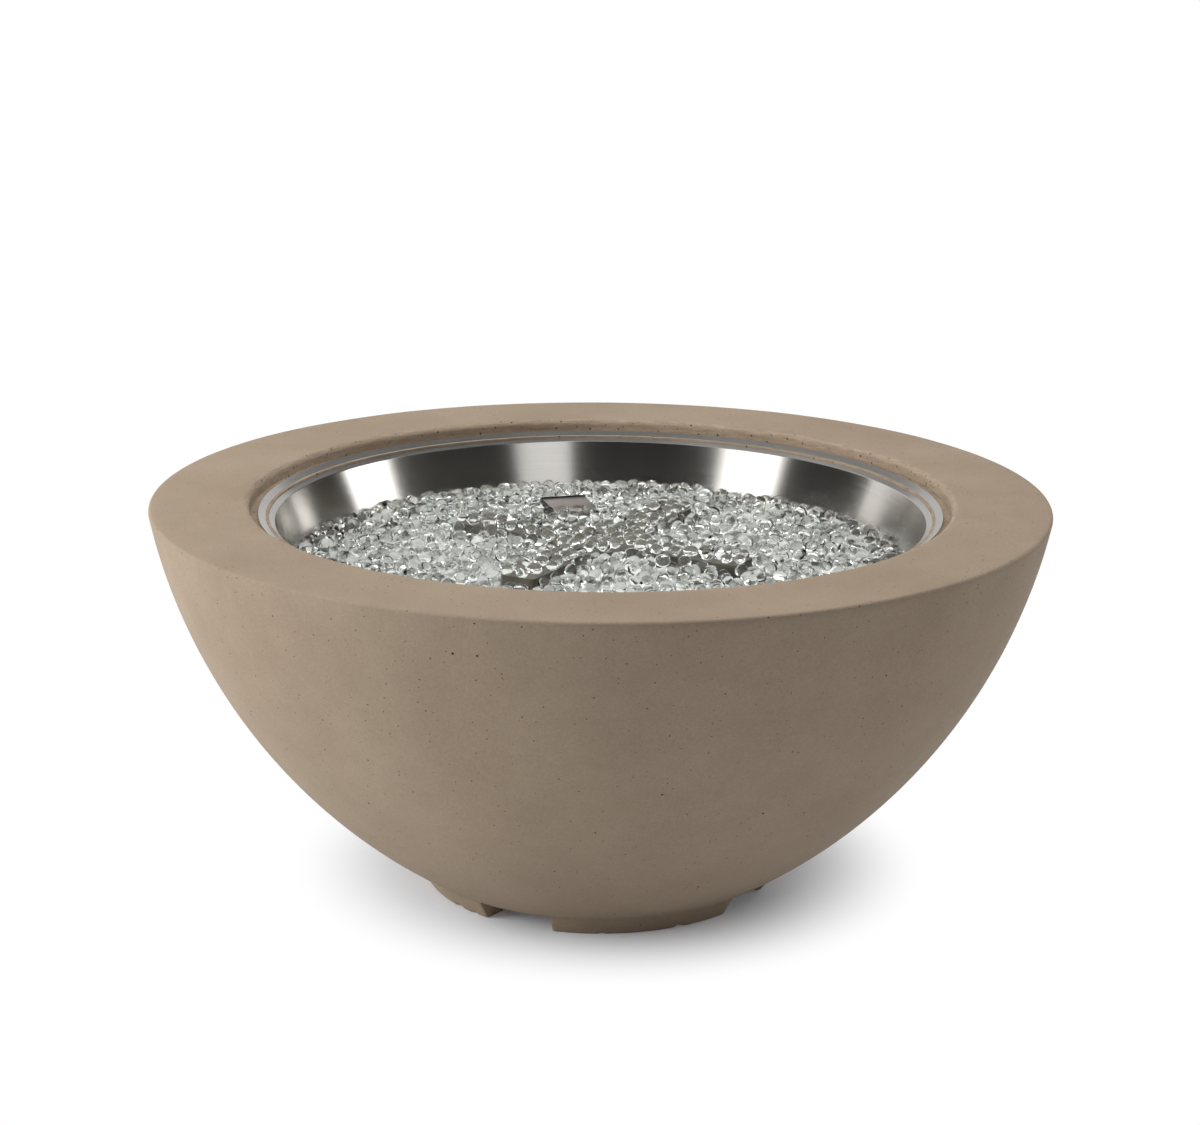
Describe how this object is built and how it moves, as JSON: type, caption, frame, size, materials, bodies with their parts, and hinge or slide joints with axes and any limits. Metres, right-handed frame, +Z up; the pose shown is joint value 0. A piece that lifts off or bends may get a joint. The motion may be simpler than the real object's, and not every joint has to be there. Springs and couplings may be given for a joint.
{
  "type": "gas fire pit bowl",
  "caption": "Round cast bowl on a notched foot, with a drop-in steel pan of clear glass gems over a gas burner, hooded pilot, and a valve knob and igniter set in its back.",
  "frame": {"origin": "on the ground under the centre of the bowl", "axes": "+Z up along the bowl's axis, -Y towards the front foot, +Y towards the pilot hood and the control panel"},
  "size_m": [1.0728, 1.073, 0.478],
  "materials": {
    "cast_concrete": "matte",
    "brushed_stainless": "satin",
    "clear_glass": "gloss",
    "dark_steel": "matte",
    "zinc_steel": "satin",
    "die_cast_aluminium": "satin",
    "brass": "satin",
    "copper": "satin",
    "white_ceramic": "satin",
    "black_plastic": "satin",
    "battery_sleeve": "gloss",
    "hose_cover": "matte",
    "lead_cover": "matte"
  },
  "bodies": {
    "bowl": {"fire_bowl": "cast_concrete", "control_panel": "brushed_stainless", "panel_screws": "zinc_steel", "panel_anchors": "brass", "gas_valve": "die_cast_aluminium", "valve_ports": "brass", "valve_hose_nuts": "brass", "valve_screws": "zinc_steel", "plunger_spring": "zinc_steel", "knob_bezel": "brushed_stainless", "igniter_housing": "black_plastic", "igniter_nut": "black_plastic", "button_spring": "zinc_steel", "igniter_battery": "battery_sleeve", "inlet_bracket": "zinc_steel", "bracket_screws": "zinc_steel", "bracket_anchors": "brass", "gas_inlet_fitting": "brass", "inlet_locknut": "brass", "inlet_elbow": "brass", "elbow_outlet": "brass", "elbow_hose_nut": "brass", "burner_hose": "hose_cover", "supply_hose": "hose_cover", "pilot_tube": "die_cast_aluminium", "thermocouple_lead": "copper", "igniter_lead": "lead_cover"},
    "pan_assembly": {"burner_pan": "brushed_stainless", "fire_glass": "clear_glass", "burner_top_shell": "brushed_stainless", "burner_base_plate": "brushed_stainless", "burner_standoffs": "zinc_steel", "burner_screws": "zinc_steel", "burner_nipple": "zinc_steel", "nipple_locknut": "zinc_steel", "air_mixer": "die_cast_aluminium", "gas_orifice": "brass", "mixer_hose_nut": "brass", "pilot_bracket": "dark_steel", "pilot_hood": "brushed_stainless", "pilot_screws": "zinc_steel", "pilot_burner": "brass", "electrode_insulator": "white_ceramic", "spark_electrode": "zinc_steel", "thermocouple": "copper", "pilot_plate": "zinc_steel"},
    "shutter": {"air_shutter": "zinc_steel"},
    "valve_plunger": {"stem_plunger": "zinc_steel"},
    "knob": {"control_knob": "black_plastic", "valve_stem": "brass", "knob_set_screw": "zinc_steel"},
    "button": {"igniter_button": "black_plastic"}
  },
  "joints": [
    {"name": "pan_lift", "type": "slide", "parent": "bowl", "child": "pan_assembly", "axis": [0, 0, 1], "range_m": [0, 0.24]},
    {"name": "shutter_turn", "type": "hinge", "parent": "pan_assembly", "child": "shutter", "pos_m": [0, 0, 0.31], "axis": [0, 0, 1], "range_deg": [0, 60]},
    {"name": "stem_push", "type": "slide", "parent": "bowl", "child": "valve_plunger", "axis": [0, -0.8955, 0.4451], "range_m": [0, 0.003], "stiffness_N_per_m": 600, "springref_m": -0.004, "deforming": ["plunger_spring"]},
    {"name": "knob_turn", "type": "hinge", "parent": "valve_plunger", "child": "knob", "pos_m": [0.032, 0.47785, 0.3], "axis": [0, 0.8955, -0.4451], "range_deg": [0, 180]},
    {"name": "button_push", "type": "slide", "parent": "bowl", "child": "button", "axis": [0, -0.8955, 0.4451], "range_m": [0, 0.004], "stiffness_N_per_m": 500, "springref_m": -0.002, "deforming": ["button_spring"]}
  ]
}
